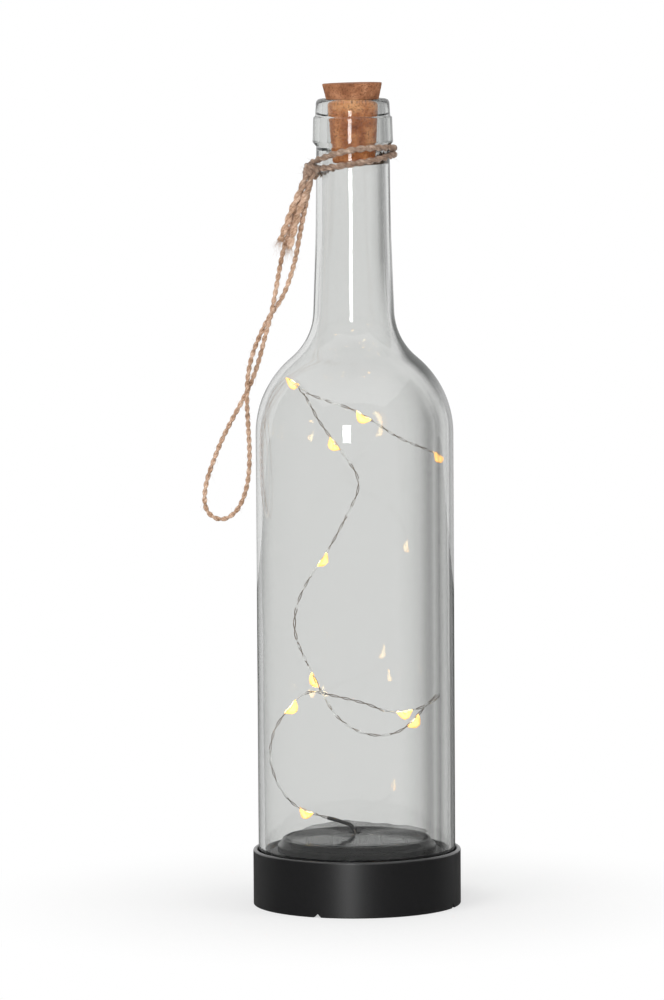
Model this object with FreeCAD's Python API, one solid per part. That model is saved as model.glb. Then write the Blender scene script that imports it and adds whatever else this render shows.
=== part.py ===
import FreeCAD, Part
import math
import os

# A cork-stoppered bottle light: a clear wine bottle without its floor, glued into a round base that
# holds a small solar panel, a rechargeable cell and the driver board. A wire of light drops stands
# inside the bottle, and jute twine is knotted round the neck. Millimetres, +Z up, and the origin is
# the middle of the base's underside. The front, at -Y, is the side where the lower notch shows.

Vector = FreeCAD.Vector
UP = Vector(0, 0, 1)
DOWN = Vector(0, 0, -1)

# Glass bottle
glass_diameter = 74.4
glass_wall = 2.2
neck_wall = 2.8
shoulder_height = 195.4
neck_root_height = 214.0
neck_root_diameter = 31.0
neck_diameter = 28.5
neck_throat_diameter = 27.5
neck_taper_length = 38.0
neck_length = 34.3
shoulder_arc_share = 0.60
neck_arc_share = 0.38
bore_diameter = 19.3
bore_length = 16.5
bore_flare_length = 8.0
finish_ring_diameter = 30.2
finish_ring_height = 9.3
finish_ring_draft = 0.35
finish_step = 1.6
lip_diameter = 27.4
lip_height = 6.9
lip_round = 1.8
mouth_round = 2.0
foot_round = 0.6

# Cork stopper
cork_play = 0.1
cork_throat_rise = 0.3
cork_stand = 5.8
cork_length = 28.5
cork_top_diameter = 22.6
cork_foot_diameter = 16.2
cork_edge = 0.5
cork_lean = 1.2

# Base
collar_height = 21.0
collar_wall = 1.7
collar_round = 0.7
glass_play = 0.35
seat_thickness = 1.0
web_thickness = 1.5
cover_recess = 2.5
cover_thickness = 2.0
cover_play = 0.35
plug_play = 2.2
plug_wall = 1.6
plug_drop = 0.5
plug_ledge = 5.3
edge_round = 0.5
notch_width = 3.2
notch_height = 1.6
notch_angle = 67.5
notch_count = 4

# Solar panel tray and what lies in it
tray_step_height = 2.5
tray_step_inset = 2.6
bezel_height = 2.2
bezel_inset = 1.8
bezel_width = 1.2
tray_floor = 1.6
tray_recess = 1.6
spigot_play = 0.2
spigot_depth = 1.5
spigot_wall = 1.5
panel_length = 38.0
panel_width = 27.0
panel_thickness = 1.0
panel_corner = 4.0
panel_back = 8.0
cell_count = 4
cell_thickness = 0.3
cell_gap = 0.6
cell_border = 1.2
film_thickness = 0.3
film_inset = 0.35
film_play = 0.1
film_lift = 2.1
# Corners of the film as shares of its radius in X and Y, and of its lift
film_corner_shares = [
    (-0.98, -0.1, 0), (-0.72, -0.66, 0), (-0.1, -0.97, 0), (0.5, -0.84, 0), (0.88, -0.42, 0),
    (0.97, 0.1, 0.6), (0.75, 0.6, 0.5), (0.3, 0.75, 0.4), (-0.15, 0.78, 1), (-0.62, 0.7, 0.5)]
lead_hole_diameter = 5.0
lead_hole_x = 8.0
lead_hole_y = 2.0

# Wire of light drops
wire_thickness = 0.9
exit_x = -0.5
exit_y = 11.0
grommet_diameter = 4.4
grommet_head = 0.8
grommet_stem_diameter = 3.0
grommet_play = 0.05
drop_length = 6.0
drop_thickness = 3.4
drop_sag = 0.65
sleeve_thickness = 1.5

# Battery bay, battery and its contacts
battery_diameter = 10.5
battery_length = 30.0
battery_play = 0.5
battery_lift = 0.6
battery_shift = -1.0
battery_y = -7.0
bay_wall = 1.2
nub_diameter = 3.8
nub_height = 0.8
contact_thickness = 0.4
contact_width = 8.0
contact_height = 9.0
contact_tab = 3.0
contact_tab_height = 1.3
contact_play = 0.15
spring_wire = 0.5
spring_length = 3.2
spring_play = 0.05
spring_turns = 3
spring_foot_diameter = 7.6
spring_tip_diameter = 4.2

# Battery door and its screw
door_thickness = 1.2
door_border = 2.0
door_play = 0.2
door_pad = 1.1
door_screw_diameter = 1.9
door_screw_length = 6.0
screw_play = 0.06
screw_tip_play = 0.5
screw_head_share = 1.9
screw_head_height = 1.1
screw_slot_width = 0.6
screw_slot_depth = 0.5
screw_boss_wall = 1.4

# Bottom cover screws
cover_screw_diameter = 2.6
cover_screw_length = 7.0
cover_screw_inset = 2.2
cover_screw_count = 4
cover_boss_wall = 1.25

# Driver board, its parts and the slide switch
board_length = 30.0
board_width = 16.0
board_thickness = 1.6
board_y = 11.2
board_corner = 1.5
switch_length = 8.6
switch_width = 4.4
switch_height = 3.5
switch_x = 8.0
switch_wall = 0.6
knob_length = 3.0
knob_width = 2.0
knob_height = 5.4
knob_travel = 2.0
knob_play = 0.3
knob_groove = 0.3
knob_groove_count = 3
coil_diameter = 5.0
coil_height = 4.0
coil_flange = 0.8
chip_length = 4.9
chip_width = 3.9
chip_height = 1.6
chip_leg = 0.4
chip_leg_count = 4
capacitor_diameter = 4.0
capacitor_height = 5.0
capacitor_inset = 4.8
post_diameter = 4.0
lead_thickness = 1.1
lead_first_share = 0.3
lead_far_share = 0.75
board_border = 3.0

# Twine
wrap_thickness = 2.2
loop_thickness = 1.6
wrap_play = 0.3
wrap_turns = 2
wrap_angle = 208.0
wrap_height = 281.1
wrap_rise = 3.1
wrap_pitch = 2.4
wrap_front_gap = 3.0
knot_thickness = 5.2
knot_length = 7.4
knot_ridges = 3
knot_groove = 0.45
knot_x = -15.5
knot_y = -10.6
knot_z = 278.2
knot_lean_share = 0.42

# How far every cutting tool runs past what it cuts
overrun = 1.0

# Rounding of a tube's bends, as a share of the shorter of the two runs that meet there
bend_share = 0.45

# Pieces of a winding per turn, points measured on each, and a length too small to count
pieces_per_turn = 4
samples_per_piece = 15
tiny = 0.0001

# Worked out from the sizes above
glass_radius = glass_diameter / 2
glass_inner = glass_radius - glass_wall
collar_inner = glass_radius + glass_play
collar_radius = collar_inner + collar_wall
web_bottom = cover_recess + cover_thickness
web_top = web_bottom + web_thickness
glass_foot = web_top + seat_thickness
plug_radius = glass_inner - plug_play
plug_inner = plug_radius - plug_wall
cover_screw_circle = (plug_inner - cover_screw_inset) * 2
plug_top = collar_height - plug_drop
ledge_inner = plug_radius - plug_ledge
tray_radius = plug_radius - tray_step_inset
tray_step_top = plug_top + tray_step_height
bezel_radius = tray_radius - bezel_inset
bezel_top = tray_step_top + bezel_height
recess_radius = bezel_radius - bezel_width
tray_floor_top = bezel_top - tray_recess
panel_top = tray_floor_top + panel_thickness
cell_top = panel_top + cell_thickness
neck_root_radius = neck_root_diameter / 2
neck_taper_top = neck_root_height + neck_taper_length
ring_bottom = neck_taper_top + neck_length
ring_top = ring_bottom + finish_step + finish_ring_height
lip_top = ring_top + lip_height
bore_bottom = lip_top - bore_length
battery_axis = web_bottom + battery_lift + battery_diameter / 2
bay_length = battery_length + nub_height + spring_length + contact_thickness * 2
bay_width = battery_diameter + battery_play * 2
bay_top = battery_axis + battery_diameter / 2 + battery_play
bay_left = battery_shift - bay_length / 2
bay_right = battery_shift + bay_length / 2
door_screw_x = bay_right + bay_wall + screw_boss_wall + door_screw_diameter / 2
board_bottom = web_bottom + switch_height
board_top = board_bottom + board_thickness


def between(a, b, share):
    """The point that lies that share of the way from a to b."""
    return a + (b - a) * share


def rounded_path(points, trims, closed=False):
    """Straight runs through the points, joined by tangent arcs that start and end a trim from each corner."""
    count = len(points)
    starts = []
    ends = []
    arcs = []
    for i, point in enumerate(points):
        inner = closed or 0 < i < count - 1
        trim = trims[i] if inner else 0
        before = (points[i - 1] - point).normalize() if inner else None
        after = (points[(i + 1) % count] - point).normalize() if inner else None
        if not trim:
            starts.append(point)
            ends.append(point)
            arcs.append(None)
            continue
        half_turn = (math.pi - before.getAngle(after)) / 2
        reach = trim / math.tan(half_turn) * (1 / math.cos(half_turn) - 1)
        starts.append(point + before * trim)
        ends.append(point + after * trim)
        arcs.append(Part.Arc(starts[-1], point + (before + after).normalize() * reach, ends[-1]))
    edges = []
    for i in range(count):
        if arcs[i]:
            edges.append(arcs[i].toShape())
        follower = (i + 1) % count
        if (closed or i < count - 1) and (starts[follower] - ends[i]).Length > tiny:
            edges.append(Part.LineSegment(ends[i], starts[follower]).toShape())
    return Part.Wire(edges)


def turned(corners):
    """A solid of revolution about Z, from corners given as radius, height and the rounding there."""
    points = [Vector(radius, 0, height) for radius, height, rounding in corners]
    trims = []
    for i, (radius, height, rounding) in enumerate(corners):
        before = points[i - 1] - points[i]
        after = points[(i + 1) % len(points)] - points[i]
        half_turn = (math.pi - before.getAngle(after)) / 2
        trims.append(rounding * math.tan(half_turn))
    face = Part.Face(rounded_path(points, trims, closed=True))
    return face.revolve(Vector(0, 0, 0), UP, 360)


def rod(diameter, bottom, top, x=0, y=0):
    """A round bar that stands along Z."""
    return Part.makeCylinder(diameter / 2, top - bottom, Vector(x, y, bottom), UP)


def block(low, high):
    """A box between two opposite corners."""
    size = high - low
    return Part.makeBox(size.x, size.y, size.z, low)


def plate(length, width, corner, bottom, top, x=0, y=0):
    """A flat plate with four rounded corners."""
    solid = block(Vector(x - length / 2, y - width / 2, bottom), Vector(x + length / 2, y + width / 2, top))
    return solid.makeFillet(corner, upright_edges(solid))


def upright_edges(solid):
    """The straight edges of a solid that run along Z."""
    return [edge for edge in solid.Edges if edge.tangentAt(edge.FirstParameter).cross(UP).Length < tiny]


def around(make, count, first_angle=0):
    """Copies of a solid made by a function, evenly spaced round the Z axis."""
    copies = []
    for i in range(count):
        copy = make()
        copy.rotate(Vector(0, 0, 0), UP, first_angle + 360 / count * i)
        copies.append(copy)
    return copies


def route_path(name, route):
    """Runs and bends along a route, where each bend is as large as the runs beside it allow."""
    points = [Vector(*place) for place in route]
    runs = [(b - a).Length for a, b in zip(points, points[1:])]
    trims = [0]
    radii = []
    for i in range(1, len(points) - 1):
        trims.append(bend_share * min(runs[i - 1], runs[i]))
        half_turn = (points[i] - points[i - 1]).getAngle(points[i + 1] - points[i]) / 2
        radii.append(trims[-1] / math.tan(half_turn))
    trims.append(0)
    print(name, "bend radii", " ".join(f"{radius:.1f}" for radius in radii))
    return rounded_path(points, trims)


def tube(name, route, thickness):
    """A round tube along a route."""
    path = route_path(name, route)
    solid = swept(path, thickness)
    report_volume(name, solid, path, thickness)
    return solid


def swept(path, thickness):
    """A solid of round section along a path."""
    first = path.Edges[0]
    start = first.valueAt(first.FirstParameter)
    ring = Part.Wire([Part.makeCircle(thickness / 2, start, first.tangentAt(first.FirstParameter))])
    return Part.Solid(path.makePipeShell([ring], True, False))


def report_volume(name, solid, path, thickness):
    """Prints how a tube's volume compares with its section times its length."""
    expected = math.pi * thickness ** 2 / 4 * path.Length
    share = solid.Volume / expected
    print(f"{name} length {path.Length:.1f} volume share {share:.3f} valid {solid.isValid()}")


def two_arcs(a, along_a, b, along_b):
    """Two tangent arcs from a to b, which leave and arrive along the given unit directions."""
    span = b - a
    both = along_a + along_b
    spare = 2 * (1 - along_a.dot(along_b))
    reach = (math.sqrt(span.dot(both) ** 2 + spare * span.dot(span)) - span.dot(both)) / spare
    first = a + along_a * reach
    second = b - along_b * reach
    middle = (first + second) / 2
    return rounded_path([a, first, middle], [0, reach, 0]).Edges + rounded_path(
        [middle, second, b], [0, reach, 0]).Edges


def wound(name, place, turns, thickness):
    """A tube along a winding given as a function of the turn, with both ends straight for one thickness."""
    count = turns * pieces_per_turn
    stops = [i / pieces_per_turn for i in range(count + 1)]
    points = [place(stop) for stop in stops]
    ways = [(place(stop + tiny) - place(stop - tiny)).normalize() for stop in stops]
    start = points[0] - ways[0] * thickness
    end = points[-1] + ways[-1] * thickness
    edges = [Part.LineSegment(start, points[0]).toShape()]
    for i in range(count):
        edges += two_arcs(points[i], ways[i], points[i + 1], ways[i + 1])
    edges.append(Part.LineSegment(points[-1], end).toShape())
    path = Part.Wire(edges)
    solid = swept(path, thickness)
    samples = path.discretize(Number=count * samples_per_piece)
    apart = math.floor(len(samples) / turns / 2)
    gap = min(a.distanceToPoint(b) for i, a in enumerate(samples) for b in samples[i + apart:]) - thickness
    print(f"{name} least gap to itself {gap:.2f}")
    report_volume(name, solid, path, thickness)
    return solid


def screw(diameter, length, top, x=0, y=0):
    """A pan-head screw driven upwards, with a cross recess in its head."""
    head_diameter = diameter * screw_head_share
    bottom = top - screw_head_height
    head = turned([(0, bottom, 0), (head_diameter / 2, bottom, edge_round), (head_diameter / 2, top, 0),
                   (diameter / 2, top, 0), (diameter / 2, top + length, diameter / 4), (0, top + length, 0)])
    reach = head_diameter / 4
    half = screw_slot_width / 2
    slot_top = bottom + screw_slot_depth
    head = head.cut(block(Vector(-reach, -half, bottom - overrun), Vector(reach, half, slot_top)))
    head = head.cut(block(Vector(-half, -reach, bottom - overrun), Vector(half, reach, slot_top)))
    head.translate(Vector(x, y, 0))
    return head


def neck_profile(root, wall):
    """Corners of the shoulder and neck, outside with no wall, and inside with one."""
    slope = math.atan2(glass_radius - neck_root_radius, neck_root_height - shoulder_height)
    shift = math.tan(slope / 2)
    length = math.hypot(glass_radius - neck_root_radius, neck_root_height - shoulder_height)
    shoulder_arc = shoulder_arc_share * length / shift
    neck_arc = neck_arc_share * length / shift
    return [(glass_radius - wall, shoulder_height - wall * shift, shoulder_arc - wall),
            (root, neck_root_height - wall * shift, neck_arc + wall)]


def bottle_glass():
    """Clear bottle with a cork finish, blown with a thin body and a thick neck, and cut open at the foot."""
    ring_radius = finish_ring_diameter / 2
    lip_radius = lip_diameter / 2
    bore_radius = bore_diameter / 2
    neck_inner = neck_diameter / 2 - neck_wall
    outside = neck_profile(neck_root_radius, 0)
    inside = neck_profile(neck_root_radius - glass_wall, glass_wall)
    corners = [(glass_radius, glass_foot, foot_round)] + outside
    corners += [(neck_diameter / 2, neck_taper_top, 0),
                (neck_throat_diameter / 2, ring_bottom, finish_step / 2),
                (ring_radius, ring_bottom + finish_step, edge_round),
                (ring_radius - finish_ring_draft, ring_top, edge_round),
                (lip_radius + finish_ring_draft, ring_top + edge_round, edge_round),
                (lip_radius, lip_top, lip_round),
                (bore_radius, lip_top, mouth_round),
                (bore_radius, bore_bottom, edge_round),
                (neck_inner, bore_bottom - bore_flare_length, bore_flare_length / 2),
                (neck_inner, neck_taper_top, 0)]
    corners += inside[::-1]
    corners.append((glass_inner, glass_foot, foot_round))
    return turned(corners)


def cork_stopper():
    """Tapered cork that touches the bore just inside the mouth and leans a little, as it was pushed in."""
    throat = lip_top - mouth_round + cork_throat_rise
    throat_radius = bore_diameter / 2 - cork_play
    top = lip_top + cork_stand
    cork = turned([(0, top - cork_length, 0),
                   (cork_foot_diameter / 2, top - cork_length, cork_edge),
                   (throat_radius, throat, 0),
                   (cork_top_diameter / 2, top, cork_edge),
                   (0, top, 0)])
    cork.rotate(Vector(0, 0, throat), Vector(0, -1, 0), cork_lean)
    return cork


def base_cup():
    """Moulded base: the collar outside, a web that the glass stands on, and the plug that fills its foot."""
    cup = turned([(collar_radius, 0, edge_round / 2),
                  (collar_radius, collar_height, collar_round),
                  (collar_inner, collar_height, collar_round),
                  (collar_inner, web_top, 0),
                  (plug_radius, web_top, edge_round),
                  (plug_radius, plug_top, edge_round),
                  (ledge_inner, plug_top, 0),
                  (ledge_inner, plug_top - plug_wall, 0),
                  (plug_inner, plug_top - plug_wall, edge_round),
                  (plug_inner, web_bottom, 0),
                  (collar_inner, web_bottom, edge_round / 2),
                  (collar_inner, 0, edge_round / 2)])
    for notch in around(base_notch, notch_count, notch_angle):
        cup = cup.cut(notch)
    circle = cover_screw_circle / 2
    boss_diameter = cover_screw_diameter + cover_boss_wall * 2

    def boss():
        return rod(boss_diameter, web_bottom, plug_top - plug_wall, circle)

    def pilot():
        depth = web_bottom + cover_screw_length + screw_tip_play
        return rod(cover_screw_diameter + screw_play * 2, web_bottom - overrun, depth, circle)

    quarter = 360 / cover_screw_count / 2
    cup = cup.fuse(around(boss, cover_screw_count, quarter)).removeSplitter()
    for hole in around(pilot, cover_screw_count, quarter):
        cup = cup.cut(hole)
    return cup


def base_notch():
    """A V-shaped notch across the collar's bottom rim, on the side of +X."""
    half = notch_width / 2
    inner = collar_inner - overrun
    outer = collar_radius + overrun
    widening = half * (notch_height + overrun) / notch_height
    corners = [Vector(inner, -widening, -overrun),
               Vector(inner, widening, -overrun),
               Vector(inner, 0, notch_height)]
    return facet(corners).extrude(Vector(outer - inner, 0, 0))


def glass_seat_ring():
    """Silicone ring between the web and the cut edge of the glass."""
    margin = glass_play / 2
    return turned([(glass_inner - margin, web_top, 0), (collar_inner - margin, web_top, 0),
                   (collar_inner - margin, glass_foot, 0), (glass_inner - margin, glass_foot, 0)])


def panel_tray():
    """Stepped lid of the plug, with a recess for the solar panel and a spigot that centres it."""
    spigot = ledge_inner - spigot_play
    spigot_inner = spigot - spigot_wall
    underside = tray_floor_top - tray_floor
    tray = turned([(0, underside, 0),
                   (spigot_inner, underside, edge_round),
                   (spigot_inner, plug_top - spigot_depth, 0),
                   (spigot, plug_top - spigot_depth, edge_round / 2),
                   (spigot, plug_top, 0),
                   (tray_radius, plug_top, 0),
                   (tray_radius, tray_step_top, edge_round),
                   (bezel_radius, tray_step_top, edge_round),
                   (bezel_radius, bezel_top, edge_round),
                   (recess_radius, bezel_top, edge_round / 2),
                   (recess_radius, tray_floor_top, 0),
                   (0, tray_floor_top, 0)])
    wire_hole = rod(grommet_stem_diameter + grommet_play * 2, underside - overrun, bezel_top, exit_x, exit_y)
    lead_hole = rod(lead_hole_diameter, underside - overrun, bezel_top, lead_hole_x, lead_hole_y)
    return tray.cut(wire_hole).cut(lead_hole)


def solar_board():
    """Thin board of the solar panel, with cut corners, in front of the wire's exit."""
    middle = panel_back - panel_width / 2
    board = block(Vector(-panel_length / 2, -panel_width / 2, tray_floor_top),
                  Vector(panel_length / 2, panel_width / 2, panel_top))
    board = board.makeChamfer(panel_corner, upright_edges(board))
    board.translate(Vector(0, middle, 0))
    return board


def solar_cells():
    """Dark cell strips side by side on the panel."""
    usable = panel_length - cell_border * 2
    width = (usable - cell_gap * (cell_count - 1)) / cell_count
    strips = []
    for i in range(cell_count):
        left = -usable / 2 + i * (width + cell_gap)
        outer = i in (0, cell_count - 1)
        length = panel_width - cell_border * 2 - (panel_corner * 2 if outer else 0)
        middle = panel_back - panel_width / 2
        strips.append(block(Vector(left, middle - length / 2, panel_top),
                            Vector(left + width, middle + length / 2, cell_top)))
    return Part.makeCompound(strips)


def panel_film():
    """Clear film over the panel, creased into flat facets that lift behind and at its right corner."""
    rest = bezel_top + film_play
    radius = bezel_radius - film_inset
    rim = [Vector(radius * x, radius * y, rest + film_lift * lift) for x, y, lift in film_corner_shares]
    hub = Vector(exit_x, exit_y - grommet_diameter, rest)
    sheet = []
    thick = Vector(0, 0, film_thickness)
    count = len(rim)
    for i in range(count):
        a = rim[i]
        b = rim[(i + 1) % count]
        sheet.append(facet([hub, b, a]))
        sheet.append(facet([hub + thick, a + thick, b + thick]))
        sheet.append(facet([a, b, b + thick]))
        sheet.append(facet([a, b + thick, a + thick]))
    film = Part.Solid(Part.Shell(sheet))
    hole_diameter = grommet_diameter + film_inset * 2
    return film.cut(rod(hole_diameter, tray_floor_top, bezel_top + film_lift * 2, exit_x, exit_y))


def facet(corners):
    """A flat face through its corners."""
    return Part.Face(Part.makePolygon(corners + corners[:1]))


def wire_grommet():
    """Rubber grommet where the wire comes up through the tray."""
    stem = grommet_stem_diameter / 2
    hole = wire_thickness / 2 + grommet_play
    grommet = turned([(hole, tray_floor_top - tray_floor, 0), (stem, tray_floor_top - tray_floor, 0),
                      (stem, tray_floor_top, 0), (grommet_diameter / 2, tray_floor_top, 0),
                      (grommet_diameter / 2, tray_floor_top + grommet_head, grommet_head / 2),
                      (hole, tray_floor_top + grommet_head, 0)])
    grommet.translate(Vector(exit_x, exit_y, 0))
    return grommet


# The wire's route, from the driver board up through the grommet and round the inside of the glass.
# The runs named in drop_runs carry a light drop in their middle, and the last drop caps the end.
wire_route = [
    (-3.5, 12, 9.6), (-3.5, 12, 13.6), (-0.5, 11, 19), (-0.5, 11, 27.6), (-6.5, 9.5, 30.1), (-13.5, 6, 32.2),
    (-24.5, -1.5, 37.5), (-30.5, -5, 47), (-33, -7, 58), (-30, -8.5, 69.5), (-19.5, -7, 82.5), (-9, -3, 79.5),
    (3, 2, 76),
    (12.5, 5, 71.5), (24.5, 9, 72.5), (31.5, 5.5, 77), (31.5, -2, 80.5), (25.5, -6.5, 75), (17, -10.5, 66),
    (5, -14, 65), (-6.5, -13, 71), (-12.5, -9.5, 80.5), (-18, -4.5, 91.5), (-23.5, 4, 101), (-23, 11.5, 113),
    (-17, 16, 123.5), (-9, 17, 134.5), (-2.5, 14.5, 147), (2.5, 12, 158.5), (-3, 9, 168.5), (-11.5, 4, 179.5),
    (-17, -2, 190), (-21.3, -3.5, 197.3), (-24.4, -6, 199.2), (-22.5, -9.5, 198), (-16.5, -12, 193.5),
    (-8, -14, 191), (-0.5, -14.5, 188.5), (7.5, -12.5, 183.5), (16.5, -8, 177), (25.5, -4, 173),
    (30.5, -1.5, 171), (32.6, -0.5, 169.5)]
drop_runs = [5, 9, 13, 17, 21, 25, 29, 32, 37, 41]
# The path's pieces that the sleeve covers: the first bend above the grommet, a run and the next bend
sleeve_pieces = slice(5, 8)


def wire_sleeve():
    """Black shrink sleeve that covers the wire where it comes out of the grommet."""
    path = Part.Wire(route_path("wire_sleeve", wire_route).Edges[sleeve_pieces])
    return swept(path, sleeve_thickness).cut(swept(path, wire_thickness + grommet_play * 2))


def led_drop(run):
    """A drop of clear resin cast over a chip and the wire, drawn out to a point at both ends."""
    a = Vector(*wire_route[run])
    b = Vector(*wire_route[run + 1])
    half = drop_length / 2
    side = Part.BSplineCurve()
    side.interpolate([DOWN * half, Vector(drop_thickness / 2, 0, 0), UP * half])
    outline = Part.Wire([side.toShape(), Part.LineSegment(UP * half, DOWN * half).toShape()])
    drop = Part.Face(outline).revolve(Vector(0, 0, 0), UP, 360)
    drop.Placement = FreeCAD.Placement((a + b) / 2 + DOWN * drop_sag, FreeCAD.Rotation(UP, b - a))
    return drop


def bottom_cover():
    """Round plate that closes the base from below, with the battery bay, posts and switch slot."""
    radius = collar_inner - cover_play
    cover = turned([(0, cover_recess, 0), (radius, cover_recess, edge_round), (radius, web_bottom, 0),
                    (0, web_bottom, 0)])
    half = bay_width / 2
    roof = bay_top + bay_wall
    bay = block(Vector(bay_left - bay_wall, battery_y - half - bay_wall, cover_recess + cover_thickness / 2),
                Vector(bay_right + bay_wall, battery_y + half + bay_wall, roof))
    hollow = block(Vector(bay_left, battery_y - half, cover_recess - overrun),
                   Vector(bay_right, battery_y + half, bay_top))
    boss = rod(door_screw_diameter + screw_boss_wall * 2, cover_recess + cover_thickness / 2,
               web_bottom + door_screw_length, door_screw_x, battery_y)
    boss_hole = rod(door_screw_diameter + screw_play * 2, cover_recess - overrun,
                    cover_recess + door_screw_length + screw_tip_play, door_screw_x, battery_y)
    border = half + door_border
    rebate = block(Vector(bay_left - door_border, battery_y - border, cover_recess - overrun),
                   Vector(door_right(), battery_y + border, cover_recess + door_thickness + door_play))
    posts = [rod(post_diameter, cover_recess + cover_thickness / 2, board_bottom, x, board_y + y)
             for x, y in post_places()]
    slot_left = switch_x - knob_length / 2 - knob_play
    slot_right = slot_left + knob_length + knob_travel + knob_play * 2
    slot_half = knob_width / 2 + knob_play
    slot = block(Vector(slot_left, board_y - slot_half, cover_recess - overrun),
                 Vector(slot_right, board_y + slot_half, web_bottom + overrun))
    cover = cover.fuse([bay, boss] + posts).removeSplitter()
    for hole in [hollow, boss_hole, rebate, slot] + tab_slots() + cover_screw_holes():
        cover = cover.cut(hole)
    return cover


def door_right():
    """The right end of the battery door's rebate, past its screw."""
    return door_screw_x + door_screw_diameter * screw_head_share / 2 + door_border


def post_places():
    """Where the posts under the driver board stand, from its middle."""
    inset = post_diameter / 2
    x = board_length / 2 - inset
    y = board_width / 2 - inset
    return [(-x, -y), (-x, y), (x, -y), (x, y)]


def tab_slots():
    """Slots in the bay's roof for the solder tabs of the two contacts."""
    slots = []
    half = contact_tab / 2 + contact_play
    for left in (bay_left, bay_right - contact_thickness):
        right = left + contact_thickness + contact_play
        slots.append(block(Vector(left - contact_play, battery_y - half, bay_top - overrun),
                           Vector(right, battery_y + half, bay_top + bay_wall + overrun)))
    return slots


def cover_screw_holes():
    """Counterbored holes for the cover's screws."""
    circle = cover_screw_circle / 2
    head = cover_screw_diameter * screw_head_share + knob_play

    def hole():
        through = rod(cover_screw_diameter + screw_play * 2, 0, web_bottom + overrun, circle)
        return through.fuse(rod(head, 0, cover_recess + screw_head_height, circle))

    return around(hole, cover_screw_count, 360 / cover_screw_count / 2)


def cover_screws():
    """Screws that hold the cover to the cup's bosses."""
    def one():
        return screw(cover_screw_diameter, cover_screw_length, cover_recess + screw_head_height,
                     cover_screw_circle / 2)

    return Part.makeCompound(around(one, cover_screw_count, 360 / cover_screw_count / 2))


def battery_door():
    """Flat door in the cover's rebate, with a pad that keeps the cell in place and a hole for its screw."""
    half = bay_width / 2
    left = bay_left - door_border + door_play
    right = door_right() - door_play
    top = cover_recess + door_thickness
    door = block(Vector(left, battery_y - half - door_border + door_play, cover_recess),
                 Vector(right, battery_y + half + door_border - door_play, top))
    door = door.makeFillet(edge_round, upright_edges(door))
    pad = block(Vector(bay_left + door_border, battery_y - half + door_play, top),
                Vector(bay_right - door_border, battery_y + half - door_play, top + door_pad))
    hole = rod(door_screw_diameter + screw_play * 2, 0, top + overrun, door_screw_x, battery_y)
    return door.fuse(pad).removeSplitter().cut(hole)


def battery_cell():
    """Rechargeable cell, with the raised nub of its positive pole to the right."""
    start = bay_left + contact_thickness + spring_length
    case = battery_length
    outline = [(0, 0, 0), (battery_diameter / 2, 0, edge_round), (battery_diameter / 2, case, edge_round),
               (nub_diameter / 2, case, 0), (nub_diameter / 2, case + nub_height, edge_round / 2),
               (0, case + nub_height, 0)]
    cell = turned(outline)
    turn = FreeCAD.Rotation(UP, Vector(1, 0, 0))
    cell.Placement = FreeCAD.Placement(Vector(start, battery_y, battery_axis), turn)
    return cell


def contact(left):
    """A flat metal contact with a solder tab that goes up through the bay's roof."""
    low = battery_axis - contact_height / 2
    half = contact_width / 2
    right = left + contact_thickness
    tab_top = bay_top + bay_wall + contact_tab_height
    foot = block(Vector(left, battery_y - half, low), Vector(right, battery_y + half, bay_top))
    tab = block(Vector(left, battery_y - contact_tab / 2, low),
                Vector(right, battery_y + contact_tab / 2, tab_top))
    return foot.fuse(tab).removeSplitter()


def battery_spring():
    """Conical spring that presses on the cell's negative end."""
    start = bay_left + contact_thickness + spring_wire / 2 + spring_play
    rise = spring_length - spring_wire - spring_play * 2
    foot = spring_foot_diameter / 2 - spring_wire / 2
    tip = spring_tip_diameter / 2 - spring_wire / 2

    def place(turn):
        share = turn / spring_turns
        radius = foot + (tip - foot) * share
        angle = 2 * math.pi * turn
        return Vector(start + rise * share, battery_y + radius * math.cos(angle),
                      battery_axis + radius * math.sin(angle))

    return wound("battery_spring", place, spring_turns, spring_wire)


def circuit_board():
    """Driver board on the cover's four posts."""
    return plate(board_length, board_width, board_corner, board_bottom, board_top, 0, board_y)


def inductor():
    """Small wound coil with a flange at each end."""
    x = -board_length / 4
    y = board_y + board_width / 4
    flange = coil_flange
    waist = coil_diameter / 2 - flange / 2
    rim = coil_diameter / 2
    upper = coil_height - flange
    coil = turned([(0, 0, 0), (rim, 0, 0), (rim, flange, 0), (waist, flange, 0), (waist, upper, 0),
                   (rim, upper, 0), (rim, coil_height, edge_round), (0, coil_height, 0)])
    coil.translate(Vector(x, y, board_top))
    return coil


def driver_chip():
    """Driver chip with four legs on each side."""
    x = -board_length / 4
    y = board_y - board_width / 4
    low = board_top + chip_leg / 2
    body = block(Vector(x - chip_length / 2, y - chip_width / 2, low),
                 Vector(x + chip_length / 2, y + chip_width / 2, board_top + chip_height))
    legs = []
    leg_pitch = chip_length / (chip_leg_count + 1)
    for i in range(chip_leg_count):
        left = x - chip_length / 2 + leg_pitch * (i + 1) - chip_leg / 2
        legs.append(block(Vector(left, y - chip_width / 2 - chip_leg * 2, board_top),
                          Vector(left + chip_leg, y + chip_width / 2 + chip_leg * 2, low + chip_leg)))
    return body.fuse(legs).removeSplitter()


def capacitor():
    """Round smoothing capacitor."""
    x = board_length / 2 - capacitor_inset
    y = board_y + board_width / 2 - capacitor_inset
    can = turned([(0, 0, 0), (capacitor_diameter / 2, 0, edge_round / 2),
                  (capacitor_diameter / 2, capacitor_height, edge_round), (0, capacitor_height, 0)])
    can.translate(Vector(x, y, board_top))
    return can


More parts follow.
